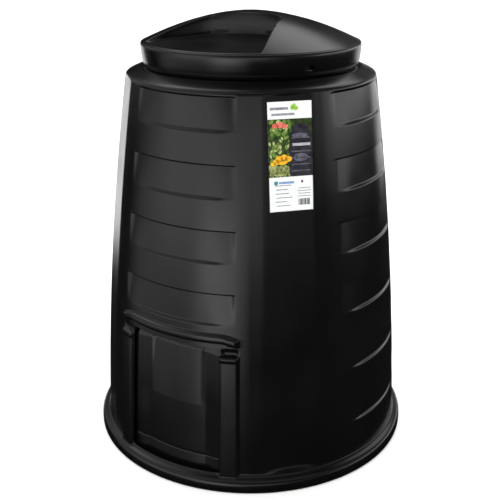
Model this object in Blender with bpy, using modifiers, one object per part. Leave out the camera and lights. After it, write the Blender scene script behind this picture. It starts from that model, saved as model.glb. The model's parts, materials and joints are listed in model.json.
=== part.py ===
"""Garden compost bin: tapered moulded body, lift-off lid, sliding hatch and a product label.

Metres, +Z up. The origin is the centre of the base ring on the ground, and the hatch faces -Y.
"""

import math

import bmesh
import bpy
from mathutils import Matrix, Vector

# Driving dimensions of the body (metres)
HEIGHT = 1.000
BASE_RADIUS = 0.381
BASE_RIM_HEIGHT = 0.024
BASE_RIM_CORNER = (0.030, 0.3760)
BASE_RIM_FILLET = 0.033
BASE_RIM_FILLET_OUT = 0.004
WALL = 0.0035
WALL_START = 0.040
SHOULDER_ROUND = ((0.867, 0.2790), (0.871, 0.2680), (0.873, 0.2500))
NECK_RADIUS = 0.2360
NECK_FOOT = 0.874
NECK_TOP = 0.9270
NECK_TAPER = 0.001

# Convex taper of the wall: radius = FOOT - SLOPE z - CURVE z^2
TAPER_FOOT = 0.3637
TAPER_SLOPE = 0.0355
TAPER_CURVE = 0.0675

# Plan section: four ribbed panels with flat strips on the diagonals (degrees)
PANEL_HALF_ANGLE = 29.7
STRIP_HALF_ANGLE = 10.3
RIB_HALF_ANGLE = 23.5

# Horizontal ribs of the panels
RIB_TOP = 0.859
RIB_PITCH = 0.0673
RIB_COUNT = 12
RIB_DEPTH = 0.0045
RIB_STEP = 0.003
RIB_SLOPE = 0.020

# Hatch frame on the front panel
RAIL_INNER_ANGLE = 19.3
RAIL_OUTER_ANGLE = 25.8
RAIL_PROUD = 0.007
RAIL_LOW = 0.030
RAIL_TOP = 0.315
HOOD_PROUD = 0.012
HOOD_LOW = 0.349
HOOD_HIGH = 0.364
OPENING_LOW = 0.036
OPENING_HIGH = 0.336

# Hatch door and its straight slide inside the front wall
DOOR_HALF_ANGLE = 20.6
DOOR_LOW = 0.014
DOOR_HIGH = 0.345
DOOR_SET_BACK = 0.0085
DOOR_PAN = 0.0085
DOOR_WALL = 0.003
PAN_EDGE_ANGLE = 17.5
PAN_FLOOR_ANGLE = 13.0
GRIP_LOW = 0.186
GRIP_HIGH = 0.300
GRIP_DEPTH = 0.005
GRIP_STEP = 0.006
SLIDE_TILT = math.atan(0.115)
GUIDE_TOP = 0.640
GUIDE_WALL = 0.003
GUIDE_LIP = 0.012
GUIDE_PLAY = 0.0015
GUIDE_REACH = 0.060
CORE_TOP = 0.690
CORE_STEPS = 12

# Lid
LID_RADIUS = 0.2467
LID_LOW = 0.885
LID_BAND_TOP = 0.934
LID_BAND_ROUND = 0.004
LID_BAND_TAPER = 0.001
LID_LIP = 0.006
LID_LIP_TAPER = 0.004
LID_WALL = 0.003
DOME_POWER = 1.8
LID_TURN = math.radians(18.4)
BAR_HALF_WIDTH = 0.035
BAR_LEFT = -0.092
BAR_RIGHT = 0.078
RECESS_FOOT = 0.955
RECESS_RIM = 0.9395
RECESS_LEFT = (-0.207, -0.098)
RECESS_OUTER = (-0.190, -0.200)
RECESS_RIGHT = (0.070, -0.255)
WINDOW_WIDTH = 0.024
WINDOW_LOW = 0.899
WINDOW_HIGH = 0.912
LOCK_ANGLE = 59.3
LUG_HALF_WIDTH = 0.017
LUG_PROUD = 0.0055
LUG_LOW = 0.893
LUG_HIGH = 0.910

# Product label on the diagonal strip between the front and the +X side
LABEL_WIDTH = 0.092
LABEL_LOW = 0.631
LABEL_HIGH = 0.850
LABEL_THICKNESS = 0.0005
LABEL_STRIP = 45.0

CLEARANCE = 0.0003
MOULD_LAP = 0.0015
OVERCUT = 0.012
RING_STEPS = 48


def clear_scene():
    for thing in list(bpy.data.objects):
        bpy.data.objects.remove(thing, do_unlink=True)


def collection(name):
    group = bpy.data.collections.new(name)
    bpy.context.scene.collection.children.link(group)
    return group


def material(name, colour, roughness, metallic=0.0):
    finish = bpy.data.materials.new(name)
    finish.use_nodes = True
    shader = finish.node_tree.nodes["Principled BSDF"]
    shader.inputs["Base Color"].default_value = (*colour, 1.0)
    shader.inputs["Roughness"].default_value = roughness
    shader.inputs["Metallic"].default_value = metallic
    finish.diffuse_color = (*colour, 1.0)
    return finish


def mesh_object(name, build, group):
    """An object whose mesh is what build(bm) leaves in a new bmesh."""
    bm = bmesh.new()
    build(bm)
    mesh = bpy.data.meshes.new(name)
    bm.to_mesh(mesh)
    bm.free()
    thing = bpy.data.objects.new(name, mesh)
    group.objects.link(thing)
    return thing


def wall_radius(z):
    """Outer radius of the tapered wall at height z."""
    return TAPER_FOOT - TAPER_SLOPE * z - TAPER_CURVE * z * z


def around(angle, radius, z):
    """The point at an angle in degrees, turned from the front (-Y) towards +X."""
    turn = math.radians(angle)
    return Vector((radius * math.sin(turn), -radius * math.cos(turn), z))


def loft(bm, rings, closed_ring=True, caps=True):
    """Quads between rings of equally many points, listed anticlockwise and upwards."""
    rows = [[bm.verts.new(point) for point in ring] for ring in rings]
    count = len(rows[0])
    spans = count if closed_ring else count - 1
    for low, high in zip(rows, rows[1:]):
        for i in range(spans):
            j = (i + 1) % count
            bm.faces.new((low[i], low[j], high[j], high[i]))
    if caps:
        bm.faces.new(rows[0][::-1])
        bm.faces.new(rows[-1])


def boolean(target, cutter, operation, cutters):
    """Cut or join with an EXACT boolean, and keep the other object as a guide."""
    step = target.modifiers.new(cutter.name, "BOOLEAN")
    step.operation = operation
    step.solver = "EXACT"
    step.object = cutter
    cutter.hide_render = True
    cutter.display_type = "WIRE"
    for group in list(cutter.users_collection):
        group.objects.unlink(cutter)
    cutters.objects.link(cutter)


def solidify(thing, thickness):
    step = thing.modifiers.new("wall", "SOLIDIFY")
    step.thickness = thickness
    step.offset = -1.0
    step.use_even_offset = True
    return step


def ring_angles():
    """Plan angles of the wall's columns: round panels, and one chord across each flat strip."""
    angles = []
    for centre in (0.0, 90.0, 180.0, 270.0):
        for share in (-1.0, -RIB_HALF_ANGLE / PANEL_HALF_ANGLE, -0.53, -0.265, 0.0):
            angles.append(centre + share * PANEL_HALF_ANGLE)
        for share in (0.265, 0.53, RIB_HALF_ANGLE / PANEL_HALF_ANGLE, 1.0):
            angles.append(centre + share * PANEL_HALF_ANGLE)
        angles += [centre + 45.0 - STRIP_HALF_ANGLE, centre + 45.0, centre + 45.0 + STRIP_HALF_ANGLE]
    return angles


def rib_relief(z, angle):
    """How far a panel is set back at a height: below each odd level, down to the next even one."""
    offset = (angle + 45.0) % 90.0 - 45.0
    on_front = abs((angle + 180.0) % 360.0 - 180.0) < 45.0
    if abs(offset) > 0.6 * PANEL_HALF_ANGLE or (on_front and z < HOOD_HIGH):
        return 0.0
    for pair in range(RIB_COUNT // 2):
        step = RIB_TOP - 2 * pair * RIB_PITCH
        slope = step - RIB_PITCH
        if slope + 0.4 * RIB_SLOPE < z < step - 0.4 * RIB_STEP:
            return RIB_DEPTH
    return 0.0


def wall_rows():
    """Heights and radii of the body's rows, from the ground up to the neck."""
    rows = [(0.0, BASE_RADIUS), (BASE_RIM_HEIGHT, BASE_RADIUS), BASE_RIM_CORNER]
    rows.append((BASE_RIM_FILLET, wall_radius(WALL_START) + BASE_RIM_FILLET_OUT))
    rows.append((WALL_START, wall_radius(WALL_START)))
    for i in reversed(range(RIB_COUNT)):
        level = RIB_TOP - i * RIB_PITCH
        half = 0.5 * (RIB_SLOPE if i % 2 else RIB_STEP)
        rows += [(level - half, wall_radius(level - half)), (level + half, wall_radius(level + half))]
    rows += SHOULDER_ROUND
    rows += [(NECK_FOOT, NECK_RADIUS), (NECK_TOP, NECK_RADIUS - NECK_TAPER)]
    return rows


def body_surface(bm):
    rings = []
    angles = ring_angles()
    across_strip = math.cos(math.radians(STRIP_HALF_ANGLE))
    for z, radius in wall_rows():
        flat = WALL_START <= z <= RIB_TOP + RIB_STEP
        ring = []
        for angle in angles:
            chord = across_strip if flat and angle % 90.0 == 45.0 else 1.0
            ring.append(around(angle, radius * chord - rib_relief(z, angle), z))
        rings.append(ring)
    loft(bm, rings, caps=False)


def patch(name, angles, heights, outward, inward, group):
    """A closed slab that follows the tapered wall between two angles and two heights."""
    def build(bm):
        steps = max(2, round(abs(angles[1] - angles[0]) / 6.5))
        turns = [angles[0] + (angles[1] - angles[0]) * i / steps for i in range(steps + 1)]
        rings = []
        for share in (0.0, 0.5, 1.0):
            z = heights[0] + (heights[1] - heights[0]) * share
            outer = [around(turn, wall_radius(z) + outward, z) for turn in turns]
            inner = [around(turn, wall_radius(z) + inward, z) for turn in reversed(turns)]
            rings.append(outer + inner)
        loft(bm, rings)
    return mesh_object(name, build, group)


def slab(name, low, high, group, matrix=None):
    """A box between two corners, from the cube primitive."""
    def build(bm):
        centre = (Vector(low) + Vector(high)) / 2
        size = Vector(high) - Vector(low)
        place = Matrix.Translation(centre) @ Matrix.Diagonal((*size, 1.0))
        bmesh.ops.create_cube(bm, size=1.0, matrix=(matrix or Matrix.Identity(4)) @ place)
    return mesh_object(name, build, group)


def interior(name, inset, group):
    """The closed volume inside the wall, which trims what is moulded onto its inner face."""
    def build(bm):
        heights = [WALL_START + (CORE_TOP - WALL_START) * i / CORE_STEPS for i in range(CORE_STEPS + 1)]
        turns = [360.0 * i / RING_STEPS for i in range(RING_STEPS)]
        loft(bm, [[around(turn, wall_radius(z) - inset, z) for turn in turns] for z in heights])
    return mesh_object(name, build, group)


def door_radius(z, angle):
    """Outer face of the door: a shallow pan between its edges, with a finger recess high up."""
    side = abs(angle)
    slope = (PAN_EDGE_ANGLE - side) / (PAN_EDGE_ANGLE - PAN_FLOOR_ANGLE)
    pan = DOOR_PAN * min(1.0, max(0.0, slope))
    grip = 0.0
    if side < PAN_FLOOR_ANGLE and GRIP_LOW < z < GRIP_HIGH:
        grip = GRIP_DEPTH
    return wall_radius(z) - DOOR_SET_BACK - pan - grip


def door_surface(bm):
    heights = [DOOR_LOW, 0.060, 0.120, GRIP_LOW - GRIP_STEP, GRIP_LOW + GRIP_STEP, 0.240]
    heights += [GRIP_HIGH - GRIP_STEP, GRIP_HIGH + GRIP_STEP, DOOR_HIGH]
    half = [PAN_FLOOR_ANGLE / 3, PAN_FLOOR_ANGLE * 0.85, PAN_FLOOR_ANGLE, PAN_EDGE_ANGLE, DOOR_HALF_ANGLE]
    angles = [-side for side in reversed(half)] + half
    rings = [[around(angle, door_radius(z, angle), z) for angle in angles] for z in heights]
    loft(bm, rings, closed_ring=False, caps=False)


def dome_height(radius, inset):
    """Height of the lid's outer skin at a radius, or of a skin inset below it."""
    return HEIGHT - inset - (HEIGHT - LID_BAND_TOP) * (radius / LID_RADIUS) ** DOME_POWER


def lid_profile(inset):
    """Half outline of the lid at +X, from the crown down its outer side to the rim's lower edge."""
    reach = LID_RADIUS - inset
    shares = (0.0, 0.14, 0.30, 0.46, 0.62, 0.78, 0.90, 0.97)
    points = [(reach * share, dome_height(reach * share, inset)) for share in shares]
    points.append((reach, LID_BAND_TOP - LID_BAND_ROUND - inset * 0.5))
    points.append((reach - LID_BAND_TAPER, LID_LOW + LID_LIP))
    points.append((reach - LID_LIP_TAPER, LID_LOW if inset == 0.0 else LID_LOW - OVERCUT))
    return points


def turned(name, profile, group):
    """A closed solid of revolution from an outline that starts on the axis."""
    mesh = bpy.data.meshes.new(name)
    points = [(x, 0.0, z) for x, z in profile] + [(0.0, 0.0, profile[-1][1])]
    mesh.from_pydata(points, [(i, i + 1) for i in range(len(points) - 1)], [])
    thing = bpy.data.objects.new(name, mesh)
    group.objects.link(thing)
    spin = thing.modifiers.new("turn", "SCREW")
    spin.steps = RING_STEPS
    spin.render_steps = RING_STEPS
    spin.use_merge_vertices = True
    spin.merge_threshold = 0.0001
    return thing


def recess(name, side, grow, group):
    """The hand space on one side of the lid's grip bar; the other side is the same, half a turn on."""
    def build(bm):
        plan = [
            (BAR_LEFT - grow, -BAR_HALF_WIDTH + grow),
            (RECESS_LEFT[0] - 2 * grow, RECESS_LEFT[1]),
            RECESS_OUTER,
            (RECESS_RIGHT[0] + grow, RECESS_RIGHT[1]),
            (BAR_RIGHT + grow, -BAR_HALF_WIDTH + grow),
        ]
        low = []
        high = []
        for x, y in plan:
            reach = min(1.0, math.hypot(x, y + BAR_HALF_WIDTH) / (LID_RADIUS - BAR_HALF_WIDTH))
            fall = (RECESS_FOOT - RECESS_RIM) * reach if y < -0.05 else 0.0
            low.append(Vector((x, y, RECESS_FOOT - fall - grow)))
            high.append(Vector((x, y, HEIGHT + OVERCUT)))
        loft(bm, [low, high])
        bmesh.ops.rotate(bm, matrix=Matrix.Rotation(LID_TURN + side * math.pi, 3, "Z"), verts=bm.verts)
    return mesh_object(name, build, group)


def lock_place(side):
    """The turn that carries a box built at the front (-Y) to a lock position."""
    return Matrix.Rotation(math.radians(LOCK_ANGLE) + side * math.pi, 4, "Z")


def make_body(parts, cutters):
    body = mesh_object("bin_body", body_surface, parts)
    solidify(body, WALL)

    for side, label in ((-1, "left"), (1, "right")):
        span = sorted((side * RAIL_INNER_ANGLE, side * RAIL_OUTER_ANGLE))
        rail = patch(f"rail_{label}", span, (RAIL_LOW, RAIL_TOP), RAIL_PROUD, -MOULD_LAP, parts)
        boolean(body, rail, "UNION", cutters)
    hood_span = (-RAIL_OUTER_ANGLE, RAIL_OUTER_ANGLE)
    hood = patch("hood", hood_span, (HOOD_LOW, HOOD_HIGH), HOOD_PROUD, -MOULD_LAP, parts)
    boolean(body, hood, "UNION", cutters)

    opening_span = (-RAIL_INNER_ANGLE + 0.4, RAIL_INNER_ANGLE - 0.4)
    opening = patch("hatch_opening", opening_span, (OPENING_LOW, OPENING_HIGH), 0.03, -0.03, parts)
    boolean(body, opening, "DIFFERENCE", cutters)

    # Two L-shaped guides inside the front wall hold the door's edges along its slide
    core = interior("wall_core", WALL * 0.5, parts)
    edge_radius = door_radius(DOOR_LOW, DOOR_HALF_ANGLE)
    edge_x = edge_radius * math.sin(math.radians(DOOR_HALF_ANGLE)) + GUIDE_PLAY
    back_y = -edge_radius * math.cos(math.radians(DOOR_HALF_ANGLE)) + DOOR_WALL + GUIDE_PLAY
    tilt = Matrix.Translation((0, back_y, DOOR_LOW)) @ Matrix.Rotation(-SLIDE_TILT, 4, "X")
    base = (WALL_START - DOOR_LOW) / math.cos(SLIDE_TILT)
    top = (GUIDE_TOP - DOOR_LOW) / math.cos(SLIDE_TILT)
    for side, label in ((-1, "left"), (1, "right")):
        xs = sorted((side * edge_x, side * (edge_x + GUIDE_WALL)))
        web = slab(f"guide_web_{label}", (xs[0], -GUIDE_REACH, base), (xs[1], GUIDE_WALL, top), parts, tilt)
        boolean(web, core, "INTERSECT", cutters)
        boolean(body, web, "UNION", cutters)
        xs = sorted((side * (edge_x - GUIDE_LIP), side * (edge_x + GUIDE_WALL * 0.5)))
        lip = slab(f"guide_lip_{label}", (xs[0], 0.0, base), (xs[1], GUIDE_WALL, top), parts, tilt)
        boolean(body, lip, "UNION", cutters)

    # A lug on each side of the neck stands behind the lid's lock window
    for side, label in ((0, "front"), (1, "back")):
        low = (-LUG_HALF_WIDTH, -NECK_RADIUS - LUG_PROUD, LUG_LOW)
        high = (LUG_HALF_WIDTH, -NECK_RADIUS + WALL * 0.7, LUG_HIGH)
        lug = slab(f"lock_lug_{label}", low, high, parts, lock_place(side))
        boolean(body, lug, "UNION", cutters)
    return body


def make_lid(parts, cutters):
    lid = turned("lid", lid_profile(0.0), parts)
    inner = turned("lid_hollow", lid_profile(LID_WALL), parts)
    for side, label in ((0, "near"), (1, "far")):
        boolean(lid, recess(f"recess_{label}", side, 0.0, parts), "DIFFERENCE", cutters)
        boolean(inner, recess(f"recess_{label}_back", side, LID_WALL, parts), "DIFFERENCE", cutters)
    boolean(lid, inner, "DIFFERENCE", cutters)
    for side, label in ((0, "front"), (1, "back")):
        low = (-WINDOW_WIDTH / 2, -LID_RADIUS - OVERCUT, WINDOW_LOW)
        high = (WINDOW_WIDTH / 2, -LID_RADIUS + OVERCUT, WINDOW_HIGH)
        window = slab(f"lock_window_{label}", low, high, parts, lock_place(side))
        boolean(lid, window, "DIFFERENCE", cutters)
    return lid


def make_door(parts):
    door = mesh_object("hatch_door", door_surface, parts)
    solidify(door, DOOR_WALL)
    return door


def make_label(parts):
    """A thin printed sheet, flat across and bent with the strip's gentle upright curve."""
    def build(bm):
        between = [z for z, _ in wall_rows() if LABEL_LOW + 0.004 < z < LABEL_HIGH - 0.004]
        half = LABEL_WIDTH / 2
        rings = []
        for z in [LABEL_LOW] + between + [LABEL_HIGH]:
            back = -wall_radius(z) * math.cos(math.radians(STRIP_HALF_ANGLE)) - CLEARANCE
            front = back - LABEL_THICKNESS
            ring = [(-half, front, z), (half, front, z), (half, back, z), (-half, back, z)]
            rings.append([Vector(point) for point in ring])
        loft(bm, rings)
        bmesh.ops.rotate(bm, matrix=Matrix.Rotation(math.radians(LABEL_STRIP), 3, "Z"), verts=bm.verts)
    return mesh_object("product_label", build, parts)


def shade(thing, finish):
    """One finish for the whole piece, smooth on its round faces."""
    thing.data.materials.append(finish)
    thing.data.shade_smooth()
    thing.data.set_sharp_from_angle(angle=math.radians(30))


def move_origin(thing, place):
    thing.data.transform(Matrix.Translation(-Vector(place)))
    thing.location = place


def main():
    clear_scene()
    parts = collection("compost_bin")
    cutters = collection("cutters")
    black = material("moulded_polyethylene", (0.018, 0.019, 0.018), 0.38)
    lid_black = material("moulded_lid_polyethylene", (0.018, 0.019, 0.018), 0.36)
    printed = material("printed_label", (0.78, 0.80, 0.76), 0.40)

    body = make_body(parts, cutters)
    shade(body, black)

    lid = make_lid(parts, cutters)
    shade(lid, lid_black)

    door = make_door(parts)
    shade(door, black)
    move_origin(door, (0.0, -door_radius(DOOR_LOW, 0.0), DOOR_LOW))

    label = make_label(parts)
    shade(label, printed)


main()
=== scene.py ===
import json
import math

import bmesh
import bpy
from mathutils import Matrix, Vector

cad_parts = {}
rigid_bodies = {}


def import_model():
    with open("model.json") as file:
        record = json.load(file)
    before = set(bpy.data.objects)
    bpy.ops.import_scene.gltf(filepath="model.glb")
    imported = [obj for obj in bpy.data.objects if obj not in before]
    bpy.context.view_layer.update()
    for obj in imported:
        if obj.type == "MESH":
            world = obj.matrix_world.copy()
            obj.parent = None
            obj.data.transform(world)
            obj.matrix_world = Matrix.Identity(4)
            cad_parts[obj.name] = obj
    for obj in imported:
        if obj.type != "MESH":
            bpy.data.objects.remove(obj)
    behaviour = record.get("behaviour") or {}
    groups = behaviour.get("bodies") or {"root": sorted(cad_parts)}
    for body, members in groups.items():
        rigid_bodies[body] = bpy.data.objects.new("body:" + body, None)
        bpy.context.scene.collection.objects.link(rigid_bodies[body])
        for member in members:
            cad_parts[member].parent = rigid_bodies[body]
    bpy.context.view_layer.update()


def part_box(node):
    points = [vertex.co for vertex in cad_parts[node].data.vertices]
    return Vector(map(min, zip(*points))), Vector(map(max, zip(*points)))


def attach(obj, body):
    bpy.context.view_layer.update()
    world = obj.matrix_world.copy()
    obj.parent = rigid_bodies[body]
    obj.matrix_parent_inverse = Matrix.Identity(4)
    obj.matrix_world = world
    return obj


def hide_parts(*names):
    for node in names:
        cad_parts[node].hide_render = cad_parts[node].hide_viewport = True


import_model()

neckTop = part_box("bin_body")[1].z
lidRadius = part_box("lid")[1].x
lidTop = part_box("lid")[1].z
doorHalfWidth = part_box("hatch_door")[1].x
labelLow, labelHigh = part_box("product_label")


# 0 below a and 1 above b, with an eased rise between them
def smooth(a, b, x):
    t = min(1.0, max(0.0, (x - a) / (b - a)))
    return t * t * (3 - 2 * t)


# sorted stops with the gaps between them filled evenly, none wider than step
def spread(stops, step):
    stops = sorted(set(round(s, 6) for s in stops))
    values = [stops[0]]
    for a, b in zip(stops, stops[1:]):
        count = max(1, math.ceil((b - a) / step - 1e-6))
        values += [a + (b - a) * i / count for i in range(1, count + 1)]
    return values


# a place at an angle in degrees, turned from the hatch (-Y) towards +X
def around(angle, radius, z):
    turn = math.radians(angle)
    return Vector((radius * math.sin(turn), -radius * math.cos(turn), z))


# metres and degrees, as in every piece's dictionary
wall = {
    "thick": 0.0035,
    "taperFoot": 0.3637,    # radius at the ground, less a straight and a curved taper
    "taperSlope": 0.0355,
    "taperCurve": 0.0675,
    "foot": 0.036,          # where the wall starts, above the ground ring
    "top": 0.8603,
    "roundTop": 0.8730,     # the flat strips die away into the round shoulder by here
    "stripHalf": 10.3,      # flat strip on each diagonal
    "chamferHalf": 15.3,
    "ribTop": 0.859,
    "ribPitch": 0.0673,
    "ribPairs": 6,
    "ribDepth": 0.0040,
    "ribStep": 0.0030,      # height of the crisp edge that faces down
    "ribSlope": 0.0070,     # height of the soft edge that faces up, which dies away to the sides
    "ribHalf": 24.4,
    "ribFlat": 11.0,        # the soft edge stays crisp this far from a panel's middle
    "ribLow": 0.372,        # the lowest rib over the hatch
}

hatch = {
    "openHalf": 18.9,
    "openLow": 0.036,
    "openHigh": 0.336,
    "railInner": 19.3,
    "railOuter": 25.8,
    "railProud": 0.0070,
    "railTop": 0.3200,
    "knobProud": 0.0020,    # rounded head on each rail
    "knobDrop": 0.006,
    "knobHalfHigh": 0.007,
    "hoodProud": 0.0085,
    "hoodHalfHigh": 0.0105,
    "hoodCrown": 0.16,      # share of its height that the hood's face is crowned by
    "hoodMiddle": 0.3585,
    "hoodHalf": 25.6,
    "hoodDroop": 0.0085,    # the hood's ends turn down towards the rails
    "notchDepth": 0.0035,   # dip between a rail's head and the hood
    "notchInner": 19.6,
    "notchOuter": 26.2,
    "notchTop": 0.337,
    "reach": 0.40,          # nothing of the hatch stands proud above here
}


def wallRadius(z):
    return wall["taperFoot"] - wall["taperSlope"] * z - wall["taperCurve"] * z * z


# distance to the wall in plan against its round radius: 1 on a panel, less across a strip
def planFactor(angle):
    off = abs((angle + 45) % 90 - 45)
    fromStrip = 45 - off
    flat = wall["stripHalf"]
    edge = wall["chamferHalf"]
    if fromStrip >= edge:
        return 1.0
    if fromStrip <= flat:
        return math.cos(math.radians(flat)) / math.cos(math.radians(fromStrip))
    middle = (flat + edge) / 2
    return math.cos(math.radians(edge - middle)) / math.cos(math.radians(fromStrip - middle))


# set-back of a panel below each crisp rib edge; it leans back out to the next soft edge
def ribRelief(angle, z):
    off = abs((angle + 45) % 90 - 45)
    onFront = abs((angle + 180) % 360 - 180) < 45
    if off > wall["ribHalf"] + 1 or (onFront and z < wall["ribLow"]):
        return 0.0
    edge = 1 - smooth(wall["ribHalf"] - 1.6, wall["ribHalf"] + 0.6, off)
    lean = 0.15 + 0.85 * smooth(wall["ribFlat"], wall["ribHalf"] - 1.5, off)
    for pair in range(wall["ribPairs"]):
        crisp = wall["ribTop"] - 2 * pair * wall["ribPitch"]
        soft = crisp - wall["ribPitch"]
        if soft - wall["ribSlope"] / 2 < z < crisp + wall["ribStep"]:
            step = smooth(soft - wall["ribSlope"] / 2, soft + wall["ribSlope"] / 2, z)
            slant = min(1.0, max(0.0, (z - soft) / wall["ribPitch"]))
            fall = 1 - smooth(crisp - wall["ribStep"] / 2, crisp + wall["ribStep"] / 2, z)
            return wall["ribDepth"] * edge * (step + (slant - step) * lean) * fall
    return 0.0


# how far the hatch's rails and hood stand proud of the front panel
def hatchRelief(angle, z):
    side = abs((angle + 180) % 360 - 180)
    if side > 30 or z > hatch["reach"]:
        return 0.0
    inner = smooth(hatch["railInner"] - 0.35, hatch["railInner"] + 0.25, side)
    outer = 1 - smooth(hatch["railOuter"] - 0.55, hatch["railOuter"] + 0.35, side)
    rail = hatch["railProud"] * (1 - smooth(hatch["railTop"] - 0.003, hatch["railTop"] + 0.002, z))
    knob = (z - hatch["railTop"] + hatch["knobDrop"]) / hatch["knobHalfHigh"]
    rail += hatch["knobProud"] * max(0.0, 1 - knob ** 2)
    rail *= inner * outer
    middle = hatch["hoodMiddle"] - hatch["hoodDroop"] * smooth(19.5, 26.5, side)
    across = 1 - smooth(hatch["hoodHalf"] - 1.0, hatch["hoodHalf"] + 0.8, side)
    offset = (z - middle) / hatch["hoodHalfHigh"]
    bead = (1 - smooth(0.55, 1.0, abs(offset))) * (1 - hatch["hoodCrown"] * offset * offset)
    hood = hatch["hoodProud"] * across * bead
    notch = hatch["notchDepth"] * smooth(hatch["railTop"], hatch["railTop"] + 0.003, z)
    notch *= 1 - smooth(hatch["notchTop"] - 0.009, hatch["notchTop"], z)
    notch *= smooth(hatch["notchInner"], hatch["notchInner"] + 1.0, side)
    notch *= 1 - smooth(hatch["notchOuter"] - 1.6, hatch["notchOuter"], side)
    return max(rail, hood) - notch


# an sRGB hex colour as linear RGBA
def srgb(code):
    parts = [int(code[i:i + 2], 16) / 255 for i in (0, 2, 4)]
    line = [c / 12.92 if c <= 0.04045 else ((c + 0.055) / 1.055) ** 2.4 for c in parts]
    return (*line, 1.0)


# a node with its properties and values set; a link is (input, node, output)
def addNode(tree, kind, settings=None, links=None):
    node = tree.nodes.new(kind)
    for key, value in (settings or {}).items():
        if isinstance(key, str) and hasattr(node, key):
            setattr(node, key, value)
        else:
            node.inputs[key].default_value = value
    for target, source, output in links or []:
        tree.links.new(source.outputs[output], node.inputs[target])
    return node


# a material with nothing in it but its output
def newMaterial(name):
    mat = bpy.data.materials.new(name)
    mat.use_nodes = True
    tree = mat.node_tree
    tree.nodes.clear()
    out = addNode(tree, "ShaderNodeOutputMaterial")
    return mat, tree, out


# black polyethylene from a lightly sparked mould: dark, a soft waxy sheen and faint flow clouding
def mouldedPolyethylene(name, dark, pale, roughLow, roughHigh, grainMm):
    mat, tree, out = newMaterial(name)
    place = addNode(tree, "ShaderNodeTexCoord")
    # flow clouds about 90 mm across
    cloud = addNode(tree, "ShaderNodeTexNoise", {"Scale": 11.0, "Detail": 3.0, "Roughness": 0.5},
                    [("Vector", place, "Object")])
    # handling scuffs about 12 mm across
    scuff = addNode(tree, "ShaderNodeTexNoise", {"Scale": 85.0, "Detail": 4.0, "Roughness": 0.62},
                    [("Vector", place, "Object")])
    mixed = addNode(tree, "ShaderNodeMath", {"operation": "MULTIPLY_ADD", 1: 0.35},
                    [(0, scuff, "Fac"), (2, cloud, "Fac")])
    rough = addNode(tree, "ShaderNodeMapRange",
                    {"From Min": 0.42, "From Max": 0.95, "To Min": roughLow, "To Max": roughHigh},
                    [("Value", mixed, "Value")])
    tone = addNode(tree, "ShaderNodeMapRange", {"From Min": 0.45, "From Max": 0.95},
                   [("Value", mixed, "Value")])
    colour = addNode(tree, "ShaderNodeMix", {"data_type": "RGBA", 6: srgb(dark), 7: srgb(pale)},
                     [(0, tone, "Result")])
    # spark-eroded grain: the real grit is 0.3 mm, drawn at grainMm so that it shows
    grain = addNode(tree, "ShaderNodeTexNoise", {"Scale": 1000.0 / grainMm, "Detail": 2.0, "Roughness": 0.5},
                    [("Vector", place, "Object")])
    bump = addNode(tree, "ShaderNodeBump", {"Strength": 0.10, "Distance": 0.0003},
                   [("Height", grain, "Fac")])
    shader = addNode(tree, "ShaderNodeBsdfPrincipled", {"IOR": 1.51},
                     [("Base Color", colour, 2), ("Roughness", rough, "Result"), ("Normal", bump, "Normal")])
    tree.links.new(shader.outputs["BSDF"], out.inputs["Surface"])
    return mat


# matt wall paint: an even pale ground without a highlight
def paintedBackdrop(name, colour):
    mat, tree, out = newMaterial(name)
    shader = addNode(tree, "ShaderNodeBsdfPrincipled", {"Base Color": srgb(colour), "Roughness": 0.9})
    tree.links.new(shader.outputs["BSDF"], out.inputs["Surface"])
    return mat


def meshPiece(name, verts, faces, material):
    mesh = bpy.data.meshes.new(name)
    mesh.from_pydata(verts, [], faces)
    mesh.materials.append(material)
    mesh.shade_smooth()
    piece = bpy.data.objects.new(name, mesh)
    bpy.context.scene.collection.objects.link(piece)
    return piece


# quads between rows of vertices; closed joins the last column to the first
def gridFaces(rows, columns, closed, skip=None):
    faces = []
    for r in range(rows - 1):
        for c in range(columns if closed else columns - 1):
            d = (c + 1) % columns
            if skip and skip(r, c):
                continue
            faces.append((r * columns + c, r * columns + d, (r + 1) * columns + d, (r + 1) * columns + c))
    return faces


# material added behind the outer face
def thicken(piece, thickness):
    shell = piece.modifiers.new("wall", "SOLIDIFY")
    shell.thickness = thickness
    shell.offset = -1.0
    shell.use_even_offset = True
    shell.use_quality_normals = True


def applyModifiers(piece):
    depsgraph = bpy.context.evaluated_depsgraph_get()
    mesh = bpy.data.meshes.new_from_object(piece.evaluated_get(depsgraph))
    old = piece.data
    piece.modifiers.clear()
    piece.data = mesh
    bpy.data.meshes.remove(old)
    mesh.name = piece.name


# the hatch opening leaves corners without a face
def dropLoose(piece):
    bm = bmesh.new()
    bm.from_mesh(piece.data)
    bmesh.ops.delete(bm, geom=[v for v in bm.verts if not v.link_faces], context="VERTS")
    bm.to_mesh(piece.data)
    bm.free()


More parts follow.
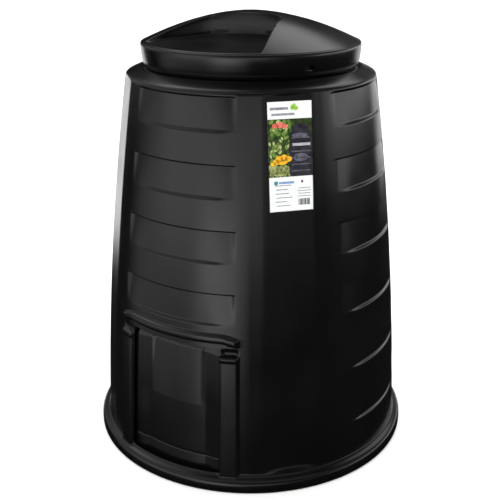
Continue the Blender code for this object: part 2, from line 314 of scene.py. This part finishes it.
# (height, radius) up the ground ring, the wall's heights, and (height, radius) over the shoulder and neck
def bodyRows():
    ring = [(0.0, 0.3788), (0.0012, 0.3802), (0.004, 0.3809), (0.010, 0.3810), (0.0165, 0.3809)]
    ring += [(0.0205, 0.3804), (0.0240, 0.3792), (0.0268, 0.3770), (0.0287, 0.3740), (0.0300, 0.3706)]
    ring += [(0.0312, 0.3672), (0.0330, 0.3643), (0.0345, 0.3630)]
    stops = [wall["foot"], 0.0400, 0.0450, 0.0550, wall["ribTop"], wall["top"]]
    fine = [0.3040 + 0.0016 * i for i in range(45)]     # the rail heads and the hood
    for pair in range(wall["ribPairs"]):
        sharp = wall["ribTop"] - 2 * pair * wall["ribPitch"]
        half = wall["ribStep"] / 2
        fine += [sharp + half * k for k in (-1.6, -1.0, -0.5, 0.0, 0.5, 1.0, 1.6)]
        foot = sharp - wall["ribPitch"] - wall["ribSlope"] / 2
        fine += [foot + wall["ribSlope"] * k / 6 for k in range(-2, 9)]
    middle = [z for z in spread(stops + fine, 0.008) if wall["foot"] <= z < wall["top"] + 0.0001]
    shoulder = [(0.8640, 0.2826), (0.8665, 0.2817), (0.8685, 0.2801), (0.8702, 0.2780), (0.8718, 0.2753)]
    shoulder += [(0.8735, 0.2715), (0.8758, 0.2660), (0.8783, 0.2600), (0.8808, 0.2540), (0.8826, 0.2497)]
    shoulder += [(0.8835, 0.2468), (0.8836, 0.2440), (0.8836, 0.2412), (0.8840, 0.2384), (0.8852, 0.2366)]
    shoulder += [(0.8880, 0.2360), (0.9050, 0.2357), (0.9200, 0.2353)]
    shoulder += [(neckTop - 0.002, 0.2350), (neckTop, 0.2340)]
    return ring, middle, shoulder


# angles round the body, closer together at the strips, the rib ends and the hatch
def bodyColumns():
    stops = []
    for centre in (0, 90, 180, 270):
        for edge in (wall["stripHalf"], wall["chamferHalf"]):
            for side in (-1, 1):
                stops += [centre + 45 + side * (edge + k) for k in (-0.3, 0.3)]
        ribEnds = [wall["ribHalf"] + k for k in (-1.0, -0.5, 0.0, 0.5)]
        stops += [centre] + [centre + side * k for side in (-1, 1) for k in ribEnds]
    # the edge of the opening, the inner side of a rail and of its notch, then the outer side of both
    hatchEdges = [hatch["openHalf"], 19.15, 19.4, 19.7, 20.9, 21.2, 21.5]
    hatchEdges += [24.6, 24.95, 25.25, 25.55, 25.85, 26.2, 26.6]
    stops += [side * k for side in (-1, 1) for k in hatchEdges]
    return spread(sorted(set(s % 360 for s in stops)) + [360.0], 1.5)[:-1]


def makeBody(plastic):
    ring, middle, shoulder = bodyRows()
    columns = bodyColumns()
    count = len(columns)
    verts = []
    heights = []
    railFoot = 0.0287       # the rails run down onto the ground ring
    for z, radius in ring:
        for angle in columns:
            rail = wallRadius(z) + hatchRelief(angle, wall["foot"]) if z >= railFoot else 0.0
            verts.append(around(angle, max(radius, rail), z))
        heights.append(z)
    for z in middle:
        flat = smooth(wall["foot"] - 0.0015, wall["foot"] + 0.010, z)
        for angle in columns:
            factor = 1 - flat * (1 - planFactor(angle))
            radius = wallRadius(z) * factor - ribRelief(angle, z) + hatchRelief(angle, z)
            verts.append(around(angle, radius, z))
        heights.append(z)
    for z, radius in shoulder:
        flat = 1 - smooth(wall["roundTop"] - 0.013, wall["roundTop"], z)
        for angle in columns:
            factor = 1 - flat * (1 - planFactor(angle))
            verts.append(around(angle, radius * factor, z))
        heights.append(z)

    def inOpening(r, c):
        mid = (columns[c] + (columns[c + 1] if c + 1 < count else 360.0)) / 2
        side = abs((mid + 180) % 360 - 180)
        z = (heights[r] + heights[r + 1]) / 2
        return side < hatch["openHalf"] and hatch["openLow"] < z < hatch["openHigh"]

    body = meshPiece("binBody", verts, gridFaces(len(heights), count, True, inOpening), plastic)
    dropLoose(body)
    thicken(body, wall["thick"])
    applyModifiers(body)
    body.data.set_sharp_from_angle(angle=math.radians(55))
    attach(body, "bin")
    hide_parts("bin_body")
    print("body: wall, ribs, hatch frame, ring and neck")
    return body


# a block with rounded edges, centred on the origin
def roundedBar(name, size, radius, material):
    bm = bmesh.new()
    bmesh.ops.create_cube(bm, size=1.0, matrix=Matrix.Diagonal((*size, 1.0)))
    bmesh.ops.bevel(bm, geom=bm.edges[:], offset=radius, segments=3, profile=0.5, affect="EDGES")
    mesh = bpy.data.meshes.new(name)
    bm.to_mesh(mesh)
    bm.free()
    mesh.materials.append(material)
    mesh.shade_smooth()
    piece = bpy.data.objects.new(name, mesh)
    bpy.context.scene.collection.objects.link(piece)
    return piece


guides = {
    "tilt": math.atan(0.115),   # the slope that the door slides along
    "lipFoot": -0.3275,         # y of the lip level with the door's lower edge
    "lip": 0.0120,
    "thick": 0.0030,
    "clearance": 0.0015,        # beside the door
    "behindWall": 0.0055,
    "foot": 0.040,
    "top": 0.640,
    "steps": 24,
}


# two L-shaped channels moulded on the inside of the front wall, which hold the door's edges
def makeGuides(plastic):
    edge = doorHalfWidth + guides["clearance"]
    lip = edge - guides["lip"]
    thick = guides["thick"]
    steps = guides["steps"]
    length = (guides["top"] - guides["foot"]) / math.cos(guides["tilt"])
    for side, hand in ((-1, "Left"), (1, "Right")):
        verts = []
        for i in range(steps + 1):
            z = guides["foot"] + length * i / steps * math.cos(guides["tilt"])
            y = guides["lipFoot"] + (z - door["low"]) * math.tan(guides["tilt"])
            wallY = -math.sqrt((wallRadius(z) - guides["behindWall"]) ** 2 - edge ** 2)
            outline = [(edge, wallY), (edge + thick, wallY), (edge + thick, y + thick)]
            outline += [(lip, y + thick), (lip, y), (edge, y)]
            if side < 0:
                outline = [(-across, deep) for across, deep in reversed(outline)]
            verts += [(across, deep, z) for across, deep in outline]
        faces = gridFaces(steps + 1, 6, True)
        faces.append(tuple(range(5, -1, -1)))
        faces.append(tuple(steps * 6 + k for k in range(6)))
        guide = meshPiece("doorGuide" + hand, verts, faces, plastic)
        guide.data.set_sharp_from_angle(angle=math.radians(30))
        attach(guide, "bin")
    print("body: inner door guides")


door = {
    "half": 20.6,
    "low": 0.014,
    "high": 0.345,
    "thick": 0.003,
    "setBack": 0.0085,      # behind the wall's face
    "pan": 0.0115,          # depth of the tray
    "panEdge": 18.6,
    "panFloor": 13.2,
    "crease": 0.066,        # groove across the tray's foot
    "groove": 0.0032,
    "grooveHalf": 0.0013,
    "footLean": 0.05,       # rise over run; the foot, tray and top lean back at different slopes
    "trayLean": 0.014,
    "topLean": 0.32,
    "topFoot": 0.316,
    "gripLow": 0.186,
    "gripHigh": 0.318,
    "gripHalf": 12.6,
    "gripDepth": 0.0062,
    "fold": 0.0014,
    "foldHalf": 2.2,
}


# a tray with sloping sides; its upper half leans back into a grip with an upright fold
def doorRadius(angle, z):
    side = abs(angle)
    slope = min(1.0, max(0.0, (door["panEdge"] - side) / (door["panEdge"] - door["panFloor"])))
    pan = door["pan"] * (slope * 0.8 + 0.2 * smooth(0, 1, slope))
    groove = door["groove"] * math.exp(-((z - door["crease"]) / door["grooveHalf"]) ** 2)
    pan += groove * smooth(0, 0.4, slope)
    forward = door["footLean"] * max(0.0, door["crease"] - z)
    forward += door["trayLean"] * max(0.0, door["gripLow"] - z)
    forward *= smooth(0, 0.6, slope)
    inGrip = 1 - smooth(door["gripHalf"] - 1.6, door["gripHalf"], side)
    lean = min(1.0, max(0.0, z - door["gripLow"]) / (door["gripHigh"] - door["gripLow"]))
    fold = door["fold"] * math.exp(-(angle / door["foldHalf"]) ** 2)
    grip = inGrip * lean * (door["gripDepth"] - fold)
    top = door["topLean"] * max(0.0, z - door["topFoot"])
    return wallRadius(z) - door["setBack"] - pan + forward - grip - top


def makeDoor(plastic):
    edges = [0, door["foldHalf"], door["gripHalf"] - 1.0, door["gripHalf"]]
    edges += [door["panFloor"], door["panEdge"], door["half"]]
    angles = spread([side * edge for side in (-1, 1) for edge in edges], 0.6)
    fine = [door["gripLow"] + 0.001 * k for k in range(-2, 3)]
    fine += [door["crease"] + 0.0005 * k for k in range(-7, 8)]
    fine += [door["topFoot"] + 0.002 * k for k in (-1, 0, 1)]
    heights = spread([door["low"], door["high"]] + fine, 0.006)
    verts = [around(a, doorRadius(a, z), z) for z in heights for a in angles]
    piece = meshPiece("hatchDoor", verts, gridFaces(len(heights), len(angles), False), plastic)
    thicken(piece, door["thick"])
    applyModifiers(piece)
    piece.data.set_sharp_from_angle(angle=math.radians(55))
    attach(piece, "hatch")
    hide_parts("hatch_door")
    print("hatch door")
    return piece


lid = {
    "turn": 18.4,           # of the grip bar from the X axis
    "thick": 0.0030,
    "grid": 170,            # quads from the middle to the rim
    "domePower": 1.8,
    "bandTop": 0.934,
    "discRadius": 0.2405,
    "barHalf": 0.035,
    "barLeft": -0.092,
    "barRight": 0.078,
    "leftRim": (-0.207, -0.098),    # the recess opens to the rim between these two places
    "rightRim": (0.070, -0.255),
    "recessFoot": 0.9560,
    "recessRim": 0.9380,
    "draft": 0.0062,
    "cornerBlend": 0.0026,
    "windowAngle": 59.3,
    "windowWidth": 0.024,
    "windowLow": 0.899,
    "windowHigh": 0.912,
}


def domeHeight(radius):
    return lidTop - (lidTop - lid["bandTop"]) * (radius / lidRadius) ** lid["domePower"]


# signed distance of p from the line a to b, positive on its left
def edgeDistance(p, a, b):
    along = (b - a).normalized()
    return along.x * (p.y - a.y) - along.y * (p.x - a.x)


# 0 on the dome and 1 on the floor of the hand recess on the -y side, in the lid's own frame
def recessDepth(x, y):
    p = Vector((x, y))
    barA = Vector((lid["barLeft"], -lid["barHalf"]))
    barB = Vector((lid["barRight"], -lid["barHalf"]))
    leftRim = Vector(lid["leftRim"])
    rightRim = Vector(lid["rightRim"])
    sides = [edgeDistance(p, barB, barA), edgeDistance(p, barA, leftRim), edgeDistance(p, rightRim, barB)]
    if min(sides) <= -0.08:
        return 0.0
    blend = lid["cornerBlend"]
    inside = -blend * math.log(sum(math.exp(-s / blend) for s in sides))
    return smooth(0.0, lid["draft"], inside)


# the dome, or the sloping floor of the recesses on both sides of the grip bar
def lidHeight(x, y):
    radius = math.hypot(x, y)
    dome = domeHeight(radius)
    fall = lid["recessFoot"] - lid["recessRim"]
    floor = lid["recessFoot"] - fall * min(1.0, radius / lid["discRadius"])
    sunk = max(recessDepth(x, y), recessDepth(-x, -y))
    return dome + (min(floor, dome) - dome) * sunk


# a domed disc on a square-to-disc grid, then its rim band in rings around the grid's edge
def makeLid(plastic):
    n = lid["grid"]
    verts = []
    index = {}
    for j in range(-n, n + 1):
        for i in range(-n, n + 1):
            u = i / n
            v = j / n
            x = u * math.sqrt(1 - v * v / 2) * lid["discRadius"]
            y = v * math.sqrt(1 - u * u / 2) * lid["discRadius"]
            index[(i, j)] = len(verts)
            verts.append(Vector((x, y, lidHeight(x, y))))
    faces = []
    for j in range(-n, n):
        for i in range(-n, n):
            faces.append((index[(i, j)], index[(i + 1, j)], index[(i + 1, j + 1)], index[(i, j + 1)]))
    rim = [(i, -n) for i in range(-n, n)] + [(n, j) for j in range(-n, n)]
    rim += [(i, n) for i in range(n, -n, -1)] + [(-n, j) for j in range(n, -n, -1)]
    rimIndex = [index[key] for key in rim]
    top = domeHeight(lid["discRadius"])
    # a fine groove inside the rim, its rounded edge, the drafted band and the turned-in lower edge
    lip = [(0.2411, 0.0010), (0.2416, 0.0013), (0.2424, 0.0011), (0.2438, 0.0012)]
    lip += [(0.2450, 0.0020), (0.2459, 0.0034), (0.2465, 0.0056), (0.2467, 0.0090)]
    profile = [(radius, top - drop) for radius, drop in lip]
    profile += [(0.2464, 0.9200), (0.2456, 0.9125), (0.2447, 0.9050), (0.2438, 0.8985), (0.2428, 0.8940)]
    profile += [(0.2416, 0.8905), (0.2404, 0.8878), (0.2392, 0.8860), (0.2382, 0.8853)]
    ringSize = len(rimIndex)
    last = rimIndex
    for radius, z in profile:
        current = []
        for k in rimIndex:
            direction = Vector((verts[k].x, verts[k].y)).normalized()
            current.append(len(verts))
            verts.append(Vector((direction.x * radius, direction.y * radius, z)))
        for k in range(ringSize):
            m = (k + 1) % ringSize
            faces.append((last[k], current[k], current[m], last[m]))
        last = current
    turn = Matrix.Rotation(math.radians(lid["turn"]), 4, "Z")
    piece = meshPiece("lidShell", [turn @ v for v in verts], faces, plastic)
    thicken(piece, lid["thick"])
    cutters = [windowCutter(side) for side in (0, 1)]
    for cutter in cutters:
        cut = piece.modifiers.new("window", "BOOLEAN")
        cut.object = cutter
        cut.solver = "EXACT"
    applyModifiers(piece)
    for cutter in cutters:
        bpy.data.objects.remove(cutter)
    piece.data.shade_smooth()
    piece.data.set_sharp_from_angle(angle=math.radians(50))
    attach(piece, "lid")
    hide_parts("lid")
    print("lid: dome, grip bar, recesses and band")
    return piece


# an arched prism across the rim band at a lock position
def windowCutter(side):
    half = lid["windowWidth"] / 2
    low = lid["windowLow"]
    rise = lid["windowHigh"] - low
    outline = [(-half, low), (half, low)]
    steps = 10
    for i in range(steps + 1):
        t = math.pi * i / steps
        outline.append((half * math.cos(t) * 0.96, low + rise * 0.45 + rise * 0.55 * math.sin(t)))
    near = [(x, -lidRadius - 0.01, z) for x, z in outline]
    far = [(x, -lidRadius + 0.014, z) for x, z in outline]
    count = len(outline)
    faces = [tuple(range(count)), tuple(range(2 * count - 1, count - 1, -1))]
    faces += [(k, k + count, (k + 1) % count + count, (k + 1) % count) for k in range(count)]
    mesh = bpy.data.meshes.new("lockWindow")
    mesh.from_pydata(near + far, [], faces)
    mesh.transform(Matrix.Rotation(math.radians(lid["windowAngle"]) + side * math.pi, 4, "Z"))
    cutter = bpy.data.objects.new("lockWindow", mesh)
    bpy.context.scene.collection.objects.link(cutter)
    return cutter


lugs = {
    "size": (0.034, 0.0085, 0.0085),
    "round": 0.0015,
    "radius": 0.2360,
    "height": 0.8985,
}


# two blocks on the neck, behind the lid's windows, that lock the lid when it is turned
def makeLugs(plastic):
    for side, place in ((0, "Front"), (1, "Back")):
        lug = roundedBar("lockLug" + place, lugs["size"], lugs["round"], plastic)
        turn = Matrix.Rotation(math.radians(lid["windowAngle"]) + side * math.pi, 4, "Z")
        lug.data.transform(turn @ Matrix.Translation((0, -lugs["radius"], lugs["height"])))
        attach(lug, "bin")
    print("neck: lock lugs")


label = {
    "strip": 45.0,          # degrees from the hatch to the strip that carries it
    "width": 0.092,
    "shift": 0.005,         # stuck on a little off the strip's middle
    "thick": 0.0005,
    "gap": 0.0003,
    "header": 0.1850,       # the picture lies between these two heights above the lower edge
    "footer": 0.0700,
    "ink": 0.00006,
}


# a place on the label: u across from its middle, v up from its lower edge, in metres
def labelPoint(u, v, lift):
    z = labelLow.z + v
    face = wallRadius(z) * math.cos(math.radians(wall["stripHalf"])) + label["gap"] + label["thick"] + lift
    return Matrix.Rotation(math.radians(label["strip"]), 3, "Z") @ Vector((u + label["shift"], -face, z))


# gloss film over print: two shades that drift over the sheet, slightly uneven in its shine
def printedFilm(name, first, second, patchMm):
    mat, tree, out = newMaterial(name)
    place = addNode(tree, "ShaderNodeTexCoord")
    patch = addNode(tree, "ShaderNodeTexNoise", {"Scale": 1000.0 / patchMm, "Detail": 3.0, "Roughness": 0.6},
                    [("Vector", place, "Object")])
    drift = addNode(tree, "ShaderNodeMapRange", {"From Min": 0.35, "From Max": 0.65},
                    [("Value", patch, "Fac")])
    colour = addNode(tree, "ShaderNodeMix", {"data_type": "RGBA", 6: srgb(first), 7: srgb(second)},
                     [(0, drift, "Result")])
    shine = addNode(tree, "ShaderNodeMapRange", {"To Min": 0.30, "To Max": 0.42}, [("Value", patch, "Fac")])
    shader = addNode(tree, "ShaderNodeBsdfPrincipled", {"IOR": 1.49},
                     [("Base Color", colour, 2), ("Roughness", shine, "Result")])
    tree.links.new(shader.outputs["BSDF"], out.inputs["Surface"])
    return mat


# flat shapes printed on the label; each is a list of (height, left edge, right edge) rows in mm
def printShapes(name, shapes, film, level=1):
    verts = []
    faces = []
    for rows in shapes:
        start = len(verts)
        for v, left, right in rows:
            verts += [labelPoint(left / 1000, v / 1000, level * label["ink"]),
                      labelPoint(right / 1000, v / 1000, level * label["ink"])]
        for r in range(len(rows) - 1):
            a = start + 2 * r
            faces.append((a, a + 1, a + 3, a + 2))
    piece = meshPiece(name, verts, faces, film)
    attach(piece, "bin")
    return piece


# a rectangle in rows close enough to follow the strip
def bar(u, v, width, height, step=6.0):
    rows = max(1, math.ceil(height / step))
    return [(v + height * r / rows, u, u + width) for r in range(rows + 1)]


# an ellipse at (u, v), or a leaf when its ends are drawn to points; lean shifts its tip sideways
def blob(u, v, width, height, pointed=0.0, lean=0.0):
    rows = []
    for r in range(9):
        share = -1 + r / 4
        half = (1 - share * share) ** (0.5 + 0.6 * pointed) * width / 2
        middle = u + lean * (share + 1) / 2
        rows.append((v + share * height / 2, middle - half, middle + half))
    return rows


# a repeatable value between 0 and 1 that looks unordered
def shuffled(k):
    return (math.sin(k * 12.9898) * 43758.5453) % 1.0


# leaves of about one size, scattered inside a rectangle
def foliage(count, salt, low, high, left, right, size):
    leaves = []
    for k in range(count):
        u = left + (right - left) * shuffled(salt + 3 * k)
        v = low + (high - low) * shuffled(salt + 3 * k + 1)
        turn = shuffled(salt + 3 * k + 2)
        width = size * (0.45 + 0.4 * turn)
        height = size * (0.7 + 0.6 * shuffled(salt + 5 * k))
        lean = size * (turn - 0.5)
        u = min(right - width / 2 - max(lean, 0), max(left + width / 2 - min(lean, 0), u))
        v = min(high - height / 2, max(low + height / 2, v))
        leaves.append(blob(u, v, width, height, 0.8, lean))
    return leaves


def makeLabel():
    height = labelHigh.z - labelLow.z
    rows = 60
    columns = 12
    verts = []
    for j in range(rows + 1):
        for i in range(columns + 1):
            verts.append(labelPoint(label["width"] * (i / columns - 0.5), height * j / rows, 0))
    white = printedFilm("white polypropylene film, gloss laminated", "F1F4F2", "FAFBFB", 30)
    piece = meshPiece("productLabel", verts, gridFaces(rows + 1, columns + 1, False), white)
    thicken(piece, label["thick"])
    applyModifiers(piece)
    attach(piece, "bin")
    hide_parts("product_label")

    edge = 1000 * label["width"] / 2
    low = 1000 * label["footer"]
    high = 1000 * label["header"]
    shade = printedFilm("printed film, shaded garden", "14200E", "3B4F1E", 14)
    printShapes("printGarden", [bar(-edge, low, 2 * edge, high - low)], shade)
    inks = {
        "DeepLeaves": ("printed film, deep green", "2C4718", "4A6B26", 60, 0.0, low, high, 15),
        "MidLeaves": ("printed film, leaf green", "5E7F33", "86A14A", 46, 11.3, low, high, 11),
        "PaleLeaves": ("printed film, pale green", "9DAE66", "C3C68A", 26, 23.9, low, high, 8),
    }
    for level, (key, (name, first, second, count, salt, base, top, size)) in enumerate(inks.items()):
        film = printedFilm(name, first, second, 6)
        leaves = foliage(count, salt, base, top, -edge, edge * 0.15, size)
        printShapes("print" + key, leaves, film, 2 + level)
    grass = printedFilm("printed film, dry grass green", "98A05A", "B9BC7C", 7)
    printShapes("printGrass", foliage(34, 31.7, low, low + 24, -edge, 4, 10), grass, 5)
    red = printedFilm("printed film, poppy red", "D9523F", "EF8A78", 5)
    petals = [blob(-31, 172, 13, 10), blob(-21, 174, 15, 12), blob(-11, 171, 13, 9)]
    printShapes("printRedPetals", petals, red, 6)
    gold = printedFilm("printed film, marigold", "F0A214", "FFCB2E", 5)
    petals = [blob(-31, 101, 13, 12), blob(-24, 106, 16, 14), blob(-14, 108, 16, 15), blob(-5, 106, 15, 12)]
    petals += [blob(-18, 100, 22, 11), blob(-37, 97, 12, 8)]
    printShapes("printGoldPetals", petals, gold, 6)

    # the picture's bin, right of the plants
    binInk = printedFilm("printed film, charcoal", "1B1A22", "34333D", 12)
    outline = [(71, -1, 42), (76, -3, 44), (95, -4, 45.5), (115, -4, 45.5), (135, -3, 45), (150, -1.5, 44.5)]
    outline += [(157, 0, 43.5), (159, 3, 41), (166, 3, 41), (171, 8, 36), (174, 15, 29)]
    printShapes("printBin", [outline], binInk, 6)
    sheen = printedFilm("printed film, slate grey", "4B4A56", "6C6B78", 9)
    ribs = [bar(2, v, 40 - 0.35 * abs(i - 3), 2.2) for i, v in enumerate((80, 93, 106, 119, 146))]
    printShapes("printBinRibs", ribs + [blob(21, 108, 30, 17), blob(20, 152, 34, 9)], sheen, 7)
    pale = printedFilm("printed film, light grey", "A19FA9", "C2C0C8", 8)
    printShapes("printBinBand", [bar(4, 131, 38, 5.5)], pale, 8)

    leaf = printedFilm("printed film, fresh leaf green", "7DB82C", "A9D84C", 7)
    printShapes("printLeaf", [blob(5, 208, 11, 14, 0.7, 5), blob(12, 205, 8, 9, 0.7, 4)], leaf)
    grey = printedFilm("printed film, text grey", "7C7C84", "A2A2AC", 6)
    lines = [bar(-41, 203, 38, 5.0), bar(-38, 192, 48, 4.2)]
    lines += [bar(-34 + 2 * (i % 2), 52 - 8.2 * i, 34 - 5 * ((i * 2) % 3), 1.6) for i in range(6)]
    lines += [bar(15 - 2 * (i % 2), 45 - 5.5 * i, 25 + 3 * (i % 2), 1.5) for i in range(4)]
    printShapes("printGreyBars", lines, grey)
    blue = printedFilm("printed film, pale blue", "6E93C4", "8FB0D8", 8)
    printShapes("printBlueBar", [bar(-26, 56, 32, 4.6)], blue)
    teal = printedFilm("printed film, teal", "1F7F86", "35A0A0", 8)
    printShapes("printTealDot", [blob(-32, 58, 9, 9)], teal)
    dark = printedFilm("printed film, dark grey", "3C3C42", "5A5A62", 5)
    stripes = [bar(15 + 2.5 * i, 11, 1.3 + 0.5 * (i % 3), 13) for i in range(10)]
    printShapes("printDarkBars", stripes + [blob(23, 59, 5, 6)], dark)
    print("label: film, picture and plain bars")


studio = {
    "azimuth": 30.3,        # degrees from the hatch's face towards +X
    "distance": 1.979,
    "height": 1.184,
    "pitch": 20.81,
    "lens": 62.35,
    "shiftX": -0.0018,
    "ambient": 0.012,       # what the unlit studio gives back
    "floorReach": 14.0,
}

# softbox panels as seen from the bin, in degrees across and up: middle, half size and soft edge
panels = {
    "key": {"at": (0, 0), "half": (34, 5), "soft": (40, 9), "level": 0.95},
    "keyCore": {"at": (7, -13), "half": (7, 4), "soft": (19, 7), "level": 1.50},
    "keyFoot": {"at": (-33, -13), "half": (28, 5), "soft": (26, 6), "level": 0.50},
    "rightStrip": {"at": (132, 4), "half": (22, 5), "soft": (26, 3), "level": 1.60},
    "rightWide": {"at": (130, 9), "half": (40, 8), "soft": (35, 5), "level": 0.30},
    "rightBack": {"at": (185, -6), "half": (12, 5), "soft": (10, 3), "level": 1.10},
    "leftBack": {"at": (-134, -11), "half": (16, 6), "soft": (6, 3), "level": 1.60},
    "leftUpper": {"at": (-55, 27), "half": (35, 20), "soft": (45, 14), "level": 0.45},
    "rightUpper": {"at": (135, 25), "half": (25, 14), "soft": (35, 12), "level": 0.18},
    "overhead": {"at": (-10, 75), "half": (90, 25), "soft": (50, 15), "level": 0.28},
    "backUpper": {"at": (-145, 49), "half": (30, 12), "soft": (20, 12), "level": 0.35},
    "backHighLeft": {"at": (-118, 57), "half": (18, 10), "soft": (16, 10), "level": 1.00},
    "backHighRight": {"at": (180, 43), "half": (20, 9), "soft": (12, 7), "level": 1.25},
}


def makeCamera():
    turn = math.radians(studio["azimuth"])
    data = bpy.data.cameras.new("camera")
    data.lens = studio["lens"]
    data.sensor_width = 36
    data.shift_x = studio["shiftX"]
    data.clip_end = 60
    camera = bpy.data.objects.new("camera", data)
    bpy.context.scene.collection.objects.link(camera)
    place = Vector((math.sin(turn), -math.cos(turn), 0)) * studio["distance"]
    camera.location = (place.x, place.y, studio["height"])
    camera.rotation_euler = (math.radians(90 - studio["pitch"]), 0, turn)
    bpy.context.scene.camera = camera


# overhead sky of silk: it whitens the floor and the print, and puts no highlight on the black plastic
def makeSilk():
    data = bpy.data.lights.new("overheadSilk", "SUN")
    data.energy = 4.0
    data.angle = math.radians(80)
    light = bpy.data.objects.new("overheadSilk", data)
    bpy.context.scene.collection.objects.link(light)
    light.location = (0, 0, 3)
    light.visible_glossy = False


# 1 inside half, falling smoothly to 0 over the soft edge
def fade(tree, source, half, soft):
    size = addNode(tree, "ShaderNodeMath", {"operation": "ABSOLUTE"}, [(0, source, "Value")])
    settings = {"interpolation_type": "SMOOTHSTEP", "To Min": 1.0, "To Max": 0.0}
    settings["From Min"] = math.radians(half)
    settings["From Max"] = math.radians(half + soft)
    return addNode(tree, "ShaderNodeMapRange", settings, [("Value", size, "Value")])


# a dark studio with the softbox panels, behind which the camera sees plain white paper
def makeWorld():
    world = bpy.data.worlds.new("studio")
    bpy.context.scene.world = world
    world.use_nodes = True
    tree = world.node_tree
    tree.nodes.clear()
    out = addNode(tree, "ShaderNodeOutputWorld")
    place = addNode(tree, "ShaderNodeTexCoord")
    split = addNode(tree, "ShaderNodeSeparateXYZ", None, [("Vector", place, "Generated")])
    front = addNode(tree, "ShaderNodeMath", {"operation": "MULTIPLY", 1: -1.0}, [(0, split, "Y")])
    azimuth = addNode(tree, "ShaderNodeMath", {"operation": "ARCTAN2"},
                      [(0, split, "X"), (1, front, "Value")])
    elevation = addNode(tree, "ShaderNodeMath", {"operation": "ARCSINE"}, [(0, split, "Z")])
    total = addNode(tree, "ShaderNodeMath", {"operation": "ADD", 0: 0.0, 1: studio["ambient"]})
    for panel in panels.values():
        side = addNode(tree, "ShaderNodeMath", {"operation": "SUBTRACT", 1: math.radians(panel["at"][0])},
                       [(0, azimuth, "Value")])
        side = addNode(tree, "ShaderNodeMath", {"operation": "WRAP", 1: math.pi, 2: -math.pi},
                       [(0, side, "Value")])
        high = addNode(tree, "ShaderNodeMath", {"operation": "SUBTRACT", 1: math.radians(panel["at"][1])},
                       [(0, elevation, "Value")])
        across = fade(tree, side, panel["half"][0], panel["soft"][0])
        upward = fade(tree, high, panel["half"][1], panel["soft"][1])
        both = addNode(tree, "ShaderNodeMath", {"operation": "MULTIPLY"},
                       [(0, across, "Result"), (1, upward, "Result")])
        total = addNode(tree, "ShaderNodeMath", {"operation": "MULTIPLY_ADD", 1: panel["level"]},
                        [(0, both, "Value"), (2, total, "Value")])
    glow = addNode(tree, "ShaderNodeBackground", {"Color": (1, 1, 1, 1)}, [("Strength", total, "Value")])
    paper = addNode(tree, "ShaderNodeBackground", {"Color": (1, 1, 1, 1), "Strength": 1.0})
    path = addNode(tree, "ShaderNodeLightPath")
    seen = addNode(tree, "ShaderNodeMixShader", None,
                   [(0, path, "Is Camera Ray"), (1, glow, "Background"), (2, paper, "Background")])
    tree.links.new(seen.outputs["Shader"], out.inputs["Surface"])
    print("studio: softbox panels and white paper")


def makeFloor():
    reach = studio["floorReach"]
    corners = [(-reach, -reach, 0), (reach, -reach, 0), (reach, reach, 0), (-reach, reach, 0)]
    paint = paintedBackdrop("pale studio floor, matt paint", "F8F8F7")
    floor = meshPiece("floor", corners, [(0, 1, 2, 3)], paint)
    floor.location.z = -0.0005      # just under the ring that the bin stands on
    floor.visible_glossy = False
    print("studio: floor")


makeCamera()
makeWorld()
makeSilk()
makeFloor()
bodyPlastic = mouldedPolyethylene("black polyethylene, moulded satin", "070807", "0C0D0C", 0.20, 0.27, 1.4)
lidPlastic = mouldedPolyethylene("black polyethylene, moulded lid", "070807", "0C0D0C", 0.20, 0.27, 1.4)
doorPlastic = mouldedPolyethylene("black polyethylene, moulded door", "080808", "0D0D0D", 0.20, 0.27, 1.4)
makeBody(bodyPlastic)
makeGuides(bodyPlastic)
makeLugs(bodyPlastic)
makeDoor(doorPlastic)
makeLid(lidPlastic)
makeLabel()

bpy.context.scene.view_settings.view_transform = "Standard"
